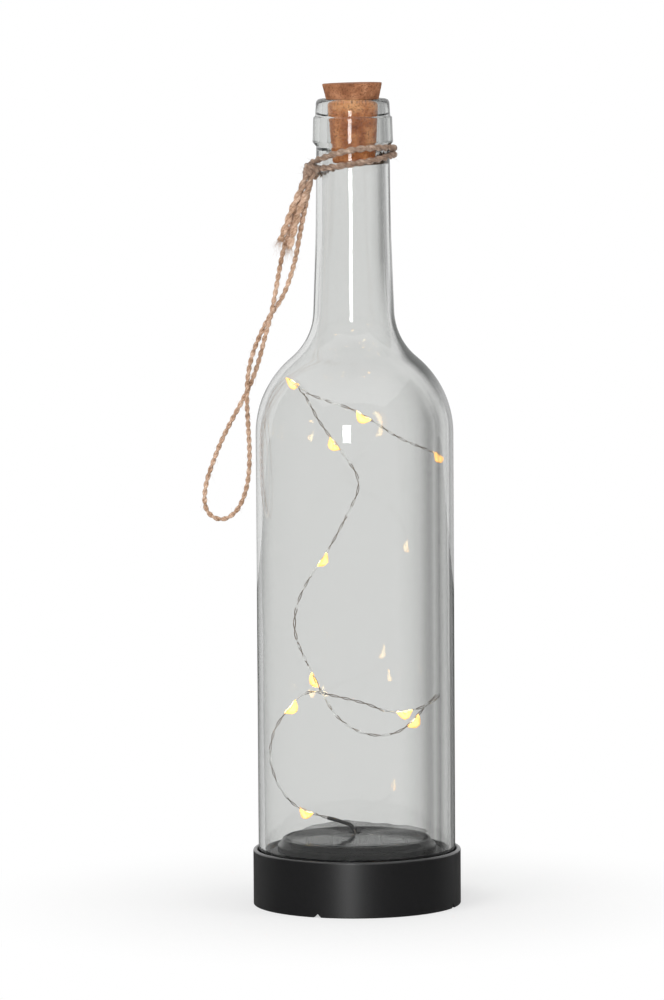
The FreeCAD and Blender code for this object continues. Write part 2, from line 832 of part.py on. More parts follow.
def switch_body():
    """Slide switch between the cover and the board, with a slot for its knob."""
    half_length = switch_length / 2
    half_width = switch_width / 2
    x = switch_x + knob_travel / 2
    body = block(Vector(x - half_length, board_y - half_width, web_bottom),
                 Vector(x + half_length, board_y + half_width, board_bottom))
    slot_length = knob_length + knob_travel + knob_play * 2
    slot = block(Vector(x - slot_length / 2, board_y - knob_width / 2 - knob_play, web_bottom - overrun),
                 Vector(x + slot_length / 2, board_y + knob_width / 2 + knob_play,
                        board_bottom - switch_wall))
    return body.cut(slot)


def switch_knob():
    """The switch's ribbed knob, which stands a little out of the cover and stays off the table."""
    top = web_bottom + (switch_height - switch_wall) - knob_play
    bottom = top - knob_height
    half_length = knob_length / 2
    half_width = knob_width / 2
    knob = block(Vector(switch_x - half_length, board_y - half_width, bottom),
                 Vector(switch_x + half_length, board_y + half_width, top))
    pitch = knob_length / (knob_groove_count + 1)
    for i in range(knob_groove_count):
        left = switch_x - half_length + pitch * (i + 1) - knob_groove / 2
        knob = knob.cut(block(Vector(left, board_y - knob_width, bottom - overrun),
                              Vector(left + knob_groove, board_y + knob_width, bottom + knob_groove)))
    return knob


def panel_leads():
    """Two insulated leads from the panel's underside down to the driver board."""
    half = lead_thickness
    leads = []
    for side in (-1, 1):
        x = lead_hole_x + side * half
        low = board_top
        high = tray_floor_top
        end_y = board_y - board_width / 4
        route = [(x, lead_hole_y, high), (x, lead_hole_y, between(high, low, lead_first_share)),
                 (x, end_y, between(high, low, lead_far_share)), (x, end_y, low)]
        leads.append(tube("panel_leads", route, lead_thickness))
    return Part.makeCompound(leads)


def battery_leads():
    """Two insulated leads from the contacts' tabs to the driver board."""
    leads = []
    for side, left in ((-1, bay_left), (1, bay_right - contact_thickness)):
        x = left + contact_thickness / 2
        y = battery_y + contact_tab / 2
        high = bay_top + bay_wall + lead_thickness / 2 + screw_play
        end_x = side * (board_length / 2 - board_border)
        end_y = board_y - board_border
        far_x = between(x, end_x, lead_far_share)
        far_y = between(y, end_y, lead_far_share)
        route = [(x, y, high), (x, between(y, end_y, lead_first_share), high),
                 (far_x, far_y, high + lead_thickness),
                 (end_x, end_y, between(high, board_top, 1 - lead_far_share)), (end_x, end_y, board_top)]
        leads.append(tube("battery_leads", route, lead_thickness))
    return Part.makeCompound(leads)


def twine_wraps():
    """Twine wound twice round the neck under the finish, higher at the right and spread apart in front."""
    ring = neck_diameter / 2 + wrap_play + wrap_thickness / 2

    def place(turn):
        angle = math.radians(wrap_angle + 360 * turn)
        front = max(0, -math.sin(angle)) ** 2
        fall = (turn - wrap_turns / 2) * (wrap_pitch + wrap_front_gap * front)
        return Vector(ring * math.cos(angle), ring * math.sin(angle),
                      wrap_height + wrap_rise * math.cos(angle) - fall)

    return wound("twine_wraps", place, wrap_turns, wrap_thickness)


def twine_knot():
    """The knot, as turns of twine drawn tight round the strands that hang from it."""
    radius = knot_thickness / 2
    pitch = knot_length / knot_ridges
    low = -knot_length / 2
    edges = []
    here = Vector(0, 0, low)
    waist = radius - knot_groove
    corner = Vector(waist, 0, low)
    edges.append(Part.LineSegment(here, corner).toShape())
    for i in range(knot_ridges):
        top = Vector(waist, 0, low + pitch * (i + 1))
        edges.append(Part.Arc(corner, Vector(radius, 0, low + pitch * (i + 1 / 2)), top).toShape())
        corner = top
    end = Vector(0, 0, -low)
    edges.append(Part.LineSegment(corner, end).toShape())
    edges.append(Part.LineSegment(end, here).toShape())
    knot = Part.Face(Part.Wire(edges)).revolve(Vector(0, 0, 0), UP, 360)
    lean = Vector(knot_lean_share, 0, 1)
    knot.Placement = FreeCAD.Placement(Vector(knot_x, knot_y, knot_z), FreeCAD.Rotation(UP, lean))
    return knot


# Routes of the twine that hangs from the knot: the long loop, which crosses itself twice, and two cut ends
loop_route = [
    (-16.4, -10.3, 278.9), (-18.3, -9.9, 273.6), (-20.6, -9.5, 267), (-23, -9, 257.5), (-26.2, -8.2, 248.5),
    (-28, -7.8, 239.5),
    (-29.5, -8.2, 231), (-31, -8.9, 223.5), (-33.5, -7.7, 215), (-35.5, -5.5, 207), (-38, -3.6, 199.5),
    (-41.3, -3.2, 192.5), (-45.5, -4.2, 185), (-49.5, -5, 177.5), (-53, -5.2, 169), (-56.5, -5, 159),
    (-56.5, -5, 149.5), (-50.3, -5, 144.5), (-44, -5, 149.5), (-40.2, -5.6, 159), (-39.3, -6, 171),
    (-40, -6.5, 183), (-40.4, -7.5, 193.5), (-39.8, -7.6, 202), (-38, -7, 209.5), (-35, -5.8, 216.5),
    (-31.7, -5, 223), (-27.5, -5.8, 229), (-24.5, -7.2, 236.5), (-22.5, -7.8, 245), (-20.8, -8, 253.5),
    (-18.2, -8.8, 263), (-16.4, -9.7, 271.5), (-15.3, -10.2, 277.6)]
long_tail_route = [
    (-14.9, -11.9, 277.8), (-16.3, -12, 272.2), (-19.7, -12.1, 264.5), (-22, -11.6, 256.5), (-24, -10.9, 248.6)]
short_tail_route = [
    (-16.9, -11.9, 277.6), (-18.7, -12, 272.2), (-22.4, -11.8, 264.5), (-25, -11.3, 257.5), (-27.3, -10.8, 251.5)]


def parts():
    """Every named piece of the bottle light."""
    pieces = {
        "bottle_glass": bottle_glass(),
        "cork_stopper": cork_stopper(),
        "base_cup": base_cup(),
        "glass_seat_ring": glass_seat_ring(),
        "panel_tray": panel_tray(),
        "solar_board": solar_board(),
        "solar_cells": solar_cells(),
        "panel_film": panel_film(),
        "wire_grommet": wire_grommet(),
        "wire_sleeve": wire_sleeve(),
        "led_wire": tube("led_wire", wire_route, wire_thickness),
        "bottom_cover": bottom_cover(),
        "cover_screws": cover_screws(),
        "battery_door": battery_door(),
        "door_screw": screw(door_screw_diameter, door_screw_length, cover_recess, door_screw_x, battery_y),
        "battery_cell": battery_cell(),
        "battery_plus_contact": contact(bay_right - contact_thickness),
        "battery_minus_contact": contact(bay_left),
        "battery_spring": battery_spring(),
        "circuit_board": circuit_board(),
        "inductor": inductor(),
        "driver_chip": driver_chip(),
        "capacitor": capacitor(),
        "switch_body": switch_body(),
        "switch_knob": switch_knob(),
        "panel_leads": panel_leads(),
        "battery_leads": battery_leads(),
        "twine_wraps": twine_wraps(),
        "twine_knot": twine_knot(),
        "twine_loop": tube("twine_loop", loop_route, loop_thickness),
        "twine_long_tail": tube("twine_long_tail", long_tail_route, loop_thickness),
        "twine_short_tail": tube("twine_short_tail", short_tail_route, loop_thickness),
    }
    for i, run in enumerate(drop_runs):
        pieces[f"led_drop_{i + 1:02d}"] = led_drop(run)
    return pieces


os.makedirs("parts", exist_ok=True)
for name, shape in parts().items():
    shape.exportStep(f"parts/{name}.step")
    print(f"{name} solids {len(shape.Solids)} valid {shape.isValid()} volume {shape.Volume:.1f}")
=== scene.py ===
import math
import random

import bpy
from mathutils import Matrix, Vector, noise


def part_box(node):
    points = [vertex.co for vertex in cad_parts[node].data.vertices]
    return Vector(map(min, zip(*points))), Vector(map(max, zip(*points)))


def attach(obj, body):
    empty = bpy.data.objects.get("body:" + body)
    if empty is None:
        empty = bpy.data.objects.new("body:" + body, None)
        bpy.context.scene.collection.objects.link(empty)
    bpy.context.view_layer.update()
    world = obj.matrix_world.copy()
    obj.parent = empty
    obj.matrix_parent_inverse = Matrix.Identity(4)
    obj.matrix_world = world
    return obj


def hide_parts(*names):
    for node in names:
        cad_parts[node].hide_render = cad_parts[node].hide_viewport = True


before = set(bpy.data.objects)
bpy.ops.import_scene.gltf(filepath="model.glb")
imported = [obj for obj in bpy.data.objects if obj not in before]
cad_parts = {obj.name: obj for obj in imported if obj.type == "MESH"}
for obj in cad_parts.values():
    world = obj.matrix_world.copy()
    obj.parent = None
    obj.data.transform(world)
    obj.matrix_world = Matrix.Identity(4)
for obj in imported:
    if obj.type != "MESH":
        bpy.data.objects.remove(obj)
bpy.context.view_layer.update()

# View. The light is seen from a few metres away through a long lens, a little above its middle, so
# the mouth and the base show as narrow ellipses. The picture leans a little to the left at its top.
mm = 0.001
lens_length = 232.35
eye = Vector((0, -2.420, 0.383))
look_down = math.radians(5.4252)
look_left = math.radians(0.2046)
lean = math.radians(0.36)
forward = Vector((-math.sin(look_left) * math.cos(look_down),
                  math.cos(look_left) * math.cos(look_down), -math.sin(look_down)))
level = forward.cross(Vector((0, 0, 1))).normalized()
upright = level.cross(forward)
right = level * math.cos(lean) - upright * math.sin(lean)
above = level * math.sin(lean) + upright * math.cos(lean)
camera = bpy.data.objects.new("camera", bpy.data.cameras.new("camera"))
camera.data.lens = lens_length
camera.data.clip_end = 60
camera.matrix_world = Matrix.Translation(eye) @ Matrix((right, above, -forward)).transposed().to_4x4()
bpy.context.collection.objects.link(camera)
bpy.context.scene.camera = camera
bpy.context.scene.view_settings.view_transform = "Standard"

# Studio. A white sweep runs under and behind the light, with one large soft lamp above to the left,
# a weaker one to the right, and a narrow low one in front that draws the streaks on the glass. Dark
# cards lie under and stand in front and beside it, only for what the glass and the plastic mirror.
room_strength = 0.58
floor_white = 0.93
floor_reach = 3.0
floor_sides = 64
shade_reach = 0.16
shade_foot = 0.045
shade_white = 0.55
lamp_aim = Vector((0, 0, 0.15))
card_reach = 2.6
card_front = -2.9
card_back = 1.1


class Signal:
    """A socket among the nodes of a finish or of the room. Arithmetic on it adds its Math nodes."""

    def __init__(self, socket):
        self.socket = socket

    def node(self, kind, settings, sockets, output=0):
        """Any other node beside it, from its type, its settings and what its sockets get."""
        tree = self.socket.id_data
        made = tree.nodes.new(kind)
        for name, value in settings.items():
            if name == "stops":
                for i, (place, colour) in enumerate(value):
                    ramp = made.color_ramp.elements
                    stop = ramp[i] if i < 2 else ramp.new(place)
                    stop.position = place
                    stop.color = (*colour, 1)
            else:
                setattr(made, name, value)
        for name, value in sockets.items():
            if isinstance(value, Signal):
                tree.links.new(value.socket, made.inputs[name])
            else:
                made.inputs[name].default_value = value
        return Signal(made.outputs[output])

    def maths(self, operation, first, second=0):
        return self.node("ShaderNodeMath", {"operation": operation}, {0: first, 1: second})

    def __add__(self, other):
        return self.maths("ADD", self, other)

    def __radd__(self, other):
        return self.maths("ADD", other, self)

    def __sub__(self, other):
        return self.maths("SUBTRACT", self, other)

    def __rsub__(self, other):
        return self.maths("SUBTRACT", other, self)

    def __mul__(self, other):
        return self.maths("MULTIPLY", self, other)

    def __rmul__(self, other):
        return self.maths("MULTIPLY", other, self)

    def __pow__(self, other):
        return self.maths("POWER", self, other)


world = bpy.data.worlds.new("room")
bpy.context.scene.world = world
world.use_nodes = True


def background_rays(tree):
    """1 for the rays that see the background: from the camera, mirrored, or through glass."""
    paths = tree.nodes.new("ShaderNodeLightPath").outputs
    seen = Signal(paths["Is Camera Ray"])
    for kind in ("Is Glossy Ray", "Is Transmission Ray"):
        seen = seen.maths("MAXIMUM", seen, Signal(paths[kind]))
    return seen


strength = background_rays(world.node_tree) * (1 - room_strength) + room_strength
background = world.node_tree.nodes["Background"]
background.inputs["Color"].default_value = (1, 1, 1, 1)
world.node_tree.links.new(strength.socket, background.inputs["Strength"])


def lamp(name, place, width, height, watts, mirrored=False):
    """A soft rectangular lamp that points at the light, and may show in glossy surfaces."""
    panel = bpy.data.lights.new(name, "AREA")
    panel.shape = "RECTANGLE"
    panel.size = width
    panel.size_y = height
    panel.energy = watts
    holder = bpy.data.objects.new(name, panel)
    holder.location = place
    holder.visible_glossy = mirrored
    holder.visible_transmission = False
    holder.rotation_euler = (lamp_aim - Vector(place)).to_track_quat("-Z", "Y").to_euler()
    bpy.context.collection.objects.link(holder)


lamp("lamp_above_left", (-1.1, -1.2, 1.9), 1.1, 1.1, 18.5)
lamp("lamp_right", (1.5, -0.6, 1.1), 0.5, 1.0, 5)
lamp("lamp_front_low", (-0.31, -2.0, 0.36), 0.34, 0.66, 11.0, True)


def skin(name, points, faces, marks=None):
    """A smooth mesh piece from its points and faces, with marks for its face corners if it has any."""
    mesh = bpy.data.meshes.new(name)
    mesh.from_pydata([tuple(point) for point in points], [], faces)
    if marks:
        layer = mesh.uv_layers.new(name="strand")
        for corner, mark in zip(layer.data, marks):
            corner.uv = mark
    mesh.polygons.foreach_set("use_smooth", [True] * len(mesh.polygons))
    mesh.update()
    piece = bpy.data.objects.new(name, mesh)
    bpy.context.collection.objects.link(piece)
    return piece


def finish(name, **sizes):
    """A new finish with its shader, and the place on the piece that its patterns are worked out from."""
    material = bpy.data.materials.new(name)
    material.use_nodes = True
    shader = material.node_tree.nodes["Principled BSDF"]
    for socket, value in sizes.items():
        shader.inputs[socket.replace("_", " ")].default_value = value
    place = Signal(material.node_tree.nodes.new("ShaderNodeTexCoord").outputs["Object"])
    return material, shader, place


def feed(shader, socket, signal):
    """Connects a worked-out value or colour to one of the shader's sockets."""
    shader.id_data.links.new(signal.socket, shader.inputs[socket])


def grain(place, scale, detail=3, stretch=(1, 1, 1)):
    """Cloudy grain from 0 to 1, as fine as its scale per metre and stretched along an axis if asked."""
    stretched = place.node("ShaderNodeMapping", {}, {"Vector": place, "Scale": stretch})
    return place.node("ShaderNodeTexNoise", {}, {"Vector": stretched, "Scale": scale, "Detail": detail})


def shades(signal, *stops):
    """A colour from a value, through stops given as place and colour."""
    return signal.node("ShaderNodeValToRGB", {"stops": stops}, {"Fac": signal})


angles = [2 * math.pi * i / floor_sides for i in range(floor_sides)]
rim = [(floor_reach * math.cos(angle), floor_reach * math.sin(angle), 0) for angle in angles]
floor = skin("floor", rim, [list(range(floor_sides))])
sweep, shader, place = finish("white_sweep", Roughness=0.9, Specular_IOR_Level=0.1)
shader.inputs["Base Color"].default_value = (floor_white, floor_white, floor_white, 1)
tree = sweep.node_tree
out_from_foot = place.node("ShaderNodeVectorMath", {"operation": "LENGTH"}, {0: place}, "Value")
fade = place.node("ShaderNodeMapRange", {"interpolation_type": "SMOOTHSTEP"},
                  {"Value": out_from_foot, "From Min": shade_foot, "From Max": shade_reach,
                   "To Min": shade_white, "To Max": 1.0})
white = tree.nodes.new("ShaderNodeEmission")
blend = tree.nodes.new("ShaderNodeMixShader")
tree.links.new((fade * background_rays(tree)).socket, blend.inputs[0])
tree.links.new(shader.outputs[0], blend.inputs[1])
tree.links.new(white.outputs[0], blend.inputs[2])
tree.links.new(blend.outputs[0], tree.nodes["Material Output"].inputs["Surface"])
floor.data.materials.append(sweep)
floor.visible_glossy = False
card_foot = [(-card_reach, card_back), (-card_reach, card_front),
             (card_reach, card_front), (card_reach, card_back)]
card = skin("dark_cards", [(x, y, z) for z in (-0.001, card_reach) for x, y in card_foot],
            [(0, 1, 2, 3), (0, 1, 5, 4), (1, 2, 6, 5), (2, 3, 7, 6)])
card.data.polygons.foreach_set("use_smooth", [False] * len(card.data.polygons))
felt, shader, place = finish("dark_felt", Roughness=0.95)
feed(shader, "Base Color", shades(grain(place, 40), (0.3, (0.05, 0.05, 0.05)), (0.7, (0.08, 0.08, 0.08))))
card.data.materials.append(felt)
card.visible_camera = False
card.visible_transmission = False
card.visible_diffuse = False
card.visible_shadow = False

# Wire of lights. Two bare silvery strands, loosely twisted, are soldered to the board, come up through
# the grommet and stand inside the bottle in the curves they were bent to. It is springy, not stretched.
wire_strand = 0.31 * mm
wire_spread = 0.33 * mm
wire_pitch = 10.5 * mm
wire_step = 0.5 * mm
wire_route = [
    (-3.5, 12, 9.6), (-3.5, 12, 13.6), (-0.5, 11, 19), (-0.5, 11, 27.6), (-6.5, 9.5, 30.1),
    (-13.5, 6, 32.2), (-24.5, -1.5, 37.5), (-30.5, -5, 47), (-33, -7, 58), (-30, -8.5, 69.5),
    (-19.5, -7, 82.5), (-9, -3, 79.5), (3, 2, 76), (12.5, 5, 71.5), (24.5, 9, 72.5),
    (31.5, 5.5, 77), (31.5, -2, 80.5), (25.5, -6.5, 75), (17, -10.5, 66), (5, -14, 65),
    (-6.5, -13, 71), (-12.5, -9.5, 80.5), (-18, -4.5, 91.5), (-23.5, 4, 101), (-23, 11.5, 113),
    (-17, 16, 123.5), (-9, 17, 134.5), (-2.5, 14.5, 147), (2.5, 12, 158.5), (-3, 9, 168.5),
    (-11.5, 4, 179.5), (-17, -2, 190), (-21.3, -3.5, 197.3), (-24.4, -6, 199.2), (-22.5, -9.5, 198),
    (-16.5, -12, 193.5), (-8, -14, 191), (-0.5, -14.5, 188.5), (7.5, -12.5, 183.5), (16.5, -8, 177),
    (25.8, -5, 173), (31.0, -2.6, 170.9), (33.1, 0.4, 169.3)]
drop_runs = [5, 9, 13, 17, 21, 25, 29, 32, 37, 41]


def in_metres(places):
    """Places written in millimetres, as vectors in metres."""
    return [Vector(place) * mm for place in places]


def smooth_line(places):
    """Points along the smooth curve that a cord's route steers."""
    curve = bpy.data.curves.new("route", "CURVE")
    curve.dimensions = "3D"
    curve.resolution_u = 16
    spline = curve.splines.new("NURBS")
    spline.points.add(len(places) - 1)
    for point, place in zip(spline.points, places):
        point.co = (*place, 1)
    spline.order_u = 3
    spline.use_endpoint_u = True
    holder = bpy.data.objects.new("route", curve)
    mesh = bpy.data.meshes.new_from_object(holder)
    points = [vertex.co.copy() for vertex in mesh.vertices]
    bpy.data.objects.remove(holder)
    bpy.data.meshes.remove(mesh)
    return points


def paced(points, step):
    """The same line with its points one even step apart."""
    total = sum((b - a).length for a, b in zip(points, points[1:]))
    count = max(2, round(total / step))
    spaced = [points[0].copy()]
    walked = 0
    i = 0
    for k in range(1, count):
        target = total * k / count
        while walked + (points[i + 1] - points[i]).length < target:
            walked += (points[i + 1] - points[i]).length
            i += 1
        run = points[i + 1] - points[i]
        spaced.append(points[i] + run * ((target - walked) / run.length))
    spaced.append(points[-1].copy())
    return spaced


def carried(points):
    """At each point of a line, two directions across it that turn no more than the line makes them."""
    ahead = (points[1] - points[0]).normalized()
    across = ahead.orthogonal().normalized()
    sides = []
    for i, point in enumerate(points):
        following = points[min(i + 1, len(points) - 1)] - points[max(i - 1, 0)]
        across = (across - following * (across.dot(following) / following.length_squared)).normalized()
        sides.append((across, following.normalized().cross(across)))
    return sides


def rings_of_faces(rows, sides, first=0):
    """The faces of a tube whose rings of points follow each other, from one ring on."""
    faces = []
    for i in range(rows):
        for k in range(sides):
            a = first + i * sides + k
            b = first + i * sides + (k + 1) % sides
            faces.append((a, b, b + sides, a + sides))
    return faces


class Strands:
    """Round strands gathered into one mesh, with marks for the way round and along each."""

    def __init__(self):
        self.points = []
        self.faces = []
        self.marks = []

    def lay(self, line, thickness, sides=8, spread=0, pitch=1, phase=0, taper=None):
        """Adds a strand along a line, or wound round it where it has a spread."""
        first = len(self.points)
        along = 0
        lengths = []
        for i, (point, (across, over)) in enumerate(zip(line, carried(line))):
            along += (point - line[i - 1]).length if i else 0
            lengths.append(along)
            turn = phase + 2 * math.pi * along / pitch
            middle = point + (across * math.cos(turn) + over * math.sin(turn)) * spread
            radius = thickness / 2 * (taper(i / (len(line) - 1)) if taper else 1)
            for k in range(sides):
                angle = turn + 2 * math.pi * k / sides
                self.points.append(middle + (across * math.cos(angle) + over * math.sin(angle)) * radius)
        self.faces += rings_of_faces(len(line) - 1, sides, first)
        for i in range(len(line) - 1):
            for k in range(sides):
                for around, length in ((k, i), (k + 1, i), (k + 1, i + 1), (k, i + 1)):
                    self.marks.append((around / sides, lengths[length]))
        last = first + (len(line) - 1) * sides
        for cap in (list(range(first, first + sides))[::-1], list(range(last, last + sides))):
            self.faces.append(cap)
            self.marks += [(0, 0)] * sides

    def piece(self, name, material):
        made = skin(name, self.points, self.faces, self.marks)
        made.data.materials.append(material)
        return made


silver_wire, shader, place = finish("silver_wire", Metallic=1.0, Roughness=0.35)
# The grain runs the strands from brown-grey to pure white; the white spots are painted glints.
wire_tone_and_glints = grain(place, 210)
feed(shader, "Base Color", shades(wire_tone_and_glints, (0.42, (0.24, 0.19, 0.15)), (0.50, (0.42, 0.36, 0.31)),
                                  (0.54, (1.0, 1.0, 0.99))))
wire_line = paced(smooth_line(in_metres(wire_route)), wire_step)
strands = Strands()
for phase in (0, math.pi):
    strands.lay(wire_line, wire_strand, 7, wire_spread, wire_pitch, phase)
wire = strands.piece("wire_strands", silver_wire)
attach(wire, "light")
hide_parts("led_wire")

# Light drops. Each is a chip between the two strands under a drop of clear resin, which hung to one
# side of the wire as it set and was drawn out along it. The lit chip makes the whole drop glow yellow,
# so brightly that the glass mirrors it.
drop_reach = 3.3 * mm
drop_wing = 0.34 * mm
drop_belly = 2.7 * mm
drop_hollow = 0.85 * mm
chip_share = 0.5
mirrored_strength = 12.0


def mixed(share, low, high):
    """A colour between two others, by a value from 0 to 1."""
    return share.node("ShaderNodeMix", {"data_type": "RGBA"}, {0: share, 6: low, 7: high}, 2)


resin, shader, place = finish("glowing_resin", Roughness=0.15, Transmission_Weight=0.35, IOR=1.4,
                              Emission_Strength=0.8)
shader.inputs["Base Color"].default_value = (0.90, 0.50, 0.12, 1)
edge_on = place.node("ShaderNodeLayerWeight", {}, {"Blend": 0.5}, "Facing")
glow = shades(edge_on * 0.8 + (grain(place, 520) - 0.5) * 0.9,
              (0.12, (1.0, 0.90, 0.48)), (0.34, (0.98, 0.66, 0.19)), (0.65, (0.84, 0.40, 0.07)))
sharp_ray = place.node("ShaderNodeLightPath", {}, {}, "Is Glossy Ray")
passed = Signal(sharp_ray.socket.node.outputs["Is Transmission Ray"])
brighter = place.node("ShaderNodeVectorMath", {"operation": "SCALE"},
                      {0: glow, "Scale": mirrored_strength})
feed(shader, "Emission Color", mixed(sharp_ray * (1 - passed), glow, brighter))
lit_chip, shader, place = finish("lit_chip", Roughness=0.4, Emission_Strength=2.0)
feed(shader, "Emission Color", shades(grain(place, 900), (0.35, (1.0, 0.72, 0.26)),
                                      (0.62, (1.0, 0.92, 0.62))))


def drop_skin(name, start, end, down, share, material):
    """A drop drawn out along the wire from start to end, whose body hangs down beside it."""
    rings = 22
    sides = 20
    middle = (start + end) / 2
    along = (end - start).normalized()
    down = (down - along * down.dot(along)).normalized()
    beside = along.cross(down)
    points = []
    for i in range(rings + 1):
        place = 2 * i / rings - 1
        swell = 1 - place ** 2
        belly = drop_belly * swell ** 1.1
        hollow = drop_hollow * swell ** 2
        radius = ((belly - hollow) / 2 + drop_wing * math.sqrt(swell)) * share
        centre = middle + along * (place * drop_reach * share) + down * ((belly + hollow) / 2)
        for k in range(sides):
            angle = 2 * math.pi * k / sides
            way = down * math.cos(angle) * 1.1 + beside * math.sin(angle) * 0.95
            lump = 1 + 0.22 * noise.noise(centre * 900 + way * 1.3)
            points.append(centre + way * (radius * lump))
    faces = rings_of_faces(rings, sides)
    faces.append(list(range(sides))[::-1])
    faces.append(list(range(rings * sides, (rings + 1) * sides)))
    drop = skin(name, points, faces)
    drop.data.materials.append(material)
    return drop


drops = []
chance = random.Random(11)
route = in_metres(wire_route)
for i, run in enumerate(drop_runs):
    down = Vector((chance.uniform(-0.5, 0.5), chance.uniform(-0.6, 0.2), -1))
    drop = drop_skin(f"light_drop_{i + 1:02d}", route[run], route[run + 1], down, 1, resin)
    chip = drop_skin(f"lit_chip_{i + 1:02d}", route[run], route[run + 1], down, chip_share, lit_chip)
    for piece in (drop, chip):
        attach(piece, "light")
    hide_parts(f"led_drop_{i + 1:02d}")
    drops += [drop, chip]

# Sleeve. A short black shrink sleeve covers the wire where it comes out of the grommet. It grips the
# two strands, narrows at its ends and keeps the grommet's edge from rubbing them.
sleeve_thickness = 1.5 * mm
sleeve_foot = 26.4 * mm
sleeve_top = 31.5 * mm
sleeve_grip = 0.12
sleeve_finish, shader, place = finish("black_sleeve", Roughness=0.42)
feed(shader, "Base Color", shades(grain(place, 1200), (0.3, (0.012, 0.012, 0.012)),
                                  (0.7, (0.03, 0.03, 0.03))))
low = next(i for i, point in enumerate(wire_line) if point.z > sleeve_foot)
high = next(i for i, point in enumerate(wire_line) if point.z > sleeve_top)
strands = Strands()
strands.lay(wire_line[low:high], sleeve_thickness, 14,
            taper=lambda share: 1 - sleeve_grip * math.cos(2 * math.pi * share) ** 8)
sleeve = strands.piece("wire_sleeve_skin", sleeve_finish)
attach(sleeve, "light")
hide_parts("wire_sleeve")

# Twine. Two-ply jute is wound twice round the neck and tied in front on the left. From the knot hang
# a long loop, which crosses itself, and the two cut ends. It is hairy, and loose fibres stand off it.
wrap_thickness = 2.2 * mm
wrap_lay = 7.5 * mm
loop_thickness = 1.6 * mm
loop_lay = 6.0 * mm
tail_thickness = 2.3 * mm
tail_lay = 9.0 * mm
turn_step = 0.4 * mm
twine_step = 0.35 * mm
wrap_ring = 15.65 * mm
wrap_turns = 2
wrap_start = math.radians(208)
wrap_height = 281.1 * mm
wrap_rise = 3.1 * mm
wrap_pitch = 2.4 * mm
wrap_front_gap = 3.0 * mm
wrap_steps = 16
loop_route = [
    (-16.4, -10.3, 278.9), (-18.3, -9.9, 273.6), (-20.6, -9.5, 267), (-23, -9, 257.5),
    (-26.2, -8.2, 248.5), (-28, -7.8, 239.5), (-29.5, -8.2, 231), (-31, -8.9, 223.5),
    (-33.5, -7.7, 215), (-35.5, -5.5, 207), (-38, -3.6, 199.5), (-41.3, -3.2, 192.5),
    (-45.5, -4.2, 185), (-49.5, -5, 177.5), (-53, -5.2, 169), (-56.5, -5, 159), (-56.5, -5, 149.5),
    (-50.3, -5, 145.7), (-44, -5, 149.5), (-40.2, -5.6, 159), (-39.3, -6, 171), (-40, -6.5, 183),
    (-40.4, -7.5, 193.5), (-39.8, -7.6, 202), (-38, -7, 209.5), (-35, -5.8, 216.5),
    (-31.7, -5, 223), (-27.2, -5.8, 229), (-24, -7.2, 236.5), (-21.6, -7.8, 245),
    (-20.1, -8, 253.5), (-18.2, -8.8, 263), (-16.4, -9.7, 271.5), (-15.3, -10.2, 277.6)]
long_tail_route = [(-14.9, -11.9, 277.8), (-16.3, -12, 272.2), (-19.7, -12.1, 264.5),
                   (-22, -11.6, 256.5), (-24, -10.9, 248.6)]
short_tail_route = [(-16.9, -11.9, 277.6), (-18.7, -12, 272.2), (-22.4, -11.8, 264.5),
                    (-25, -11.3, 257.5), (-27.3, -10.8, 251.5)]
# Painted shade: above these heights the jute turns darker and greyer, so the turns round the neck and the
# knot look shaded.
painted_shade_from = 0.266
painted_shade_full = 0.277


def climb(signal, low, high, top=1.0):
    """How far a value has come from low to high, as 0 to the top."""
    return signal.node("ShaderNodeMapRange", {},
                       {"Value": signal, "From Min": low, "From Max": high, "To Max": top})


def coordinate(place, axis):
    """One coordinate of a place."""
    return place.node("ShaderNodeSeparateXYZ", {}, {0: place}, axis)


def relief(shader, signal, depth):
    """Raises and sinks the surface by a signal, up to a depth in metres."""
    bump = signal.node("ShaderNodeBump", {}, {"Height": signal, "Strength": 1, "Distance": depth})
    feed(shader, "Normal", bump)


jute, shader, place = finish("jute", Roughness=0.92, Specular_IOR_Level=0.2, Sheen_Weight=0.25)
strand = Signal(jute.node_tree.nodes.new("ShaderNodeUVMap").outputs["UV"])
strand.socket.node.uv_map = "strand"
fibre = grain(strand, 9, 4, (1, 90, 1))
patch = grain(place, 160, 2)
hue = grain(place, 420, 2)
streaks = fibre * 0.6 + patch * 0.2 + hue * 0.2
jute_colour = shades(streaks, (0.36, (0.15, 0.075, 0.04)), (0.45, (0.42, 0.255, 0.155)),
             (0.53, (0.65, 0.435, 0.31)), (0.63, (0.88, 0.71, 0.56)))
# Painted shade: a darker, greyer copy of the jute's colour, used high on the neck.
painted_shade_colour = shades(streaks, (0.36, (0.09, 0.05, 0.03)), (0.45, (0.22, 0.14, 0.095)),
                   (0.53, (0.36, 0.245, 0.18)), (0.63, (0.60, 0.46, 0.36)))
painted_shade_share = climb(coordinate(place, "Z"), painted_shade_from, painted_shade_full)
feed(shader, "Base Color", mixed(painted_shade_share, jute_colour, painted_shade_colour))
relief(shader, fibre, 0.12 * mm)


def wrap_place(turn):
    """A point of the winding, so many turns from its start."""
    angle = wrap_start + 2 * math.pi * turn
    front = max(0, -math.sin(angle)) ** 2
    fall = (turn - wrap_turns / 2) * (wrap_pitch + wrap_front_gap * front)
    return Vector((wrap_ring * math.cos(angle), wrap_ring * math.sin(angle),
                   wrap_height + wrap_rise * math.cos(angle) - fall))


def twine(name, line, thickness, pitch, swollen=None):
    """Two plies laid round each other, each a bundle of yarn fibres, fuller where it is loose."""
    ply = 0.66
    ply_out = 0.24
    yarn = 0.11
    yarn_out = 0.31
    strands = Strands()
    for phase in (0, math.pi):
        strands.lay(line, thickness * ply, 10, thickness * ply_out, pitch, phase, swollen)
        for k in range(7):
            angle = math.pi * (k - 3) / 3.4
            across = ply_out + yarn_out * math.cos(angle)
            around = yarn_out * math.sin(angle)
            strands.lay(line, thickness * yarn, 5, thickness * math.hypot(across, around), pitch,
                        phase + math.atan2(around, across), swollen)
    piece = strands.piece(name, jute)
    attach(piece, "light")
    return piece


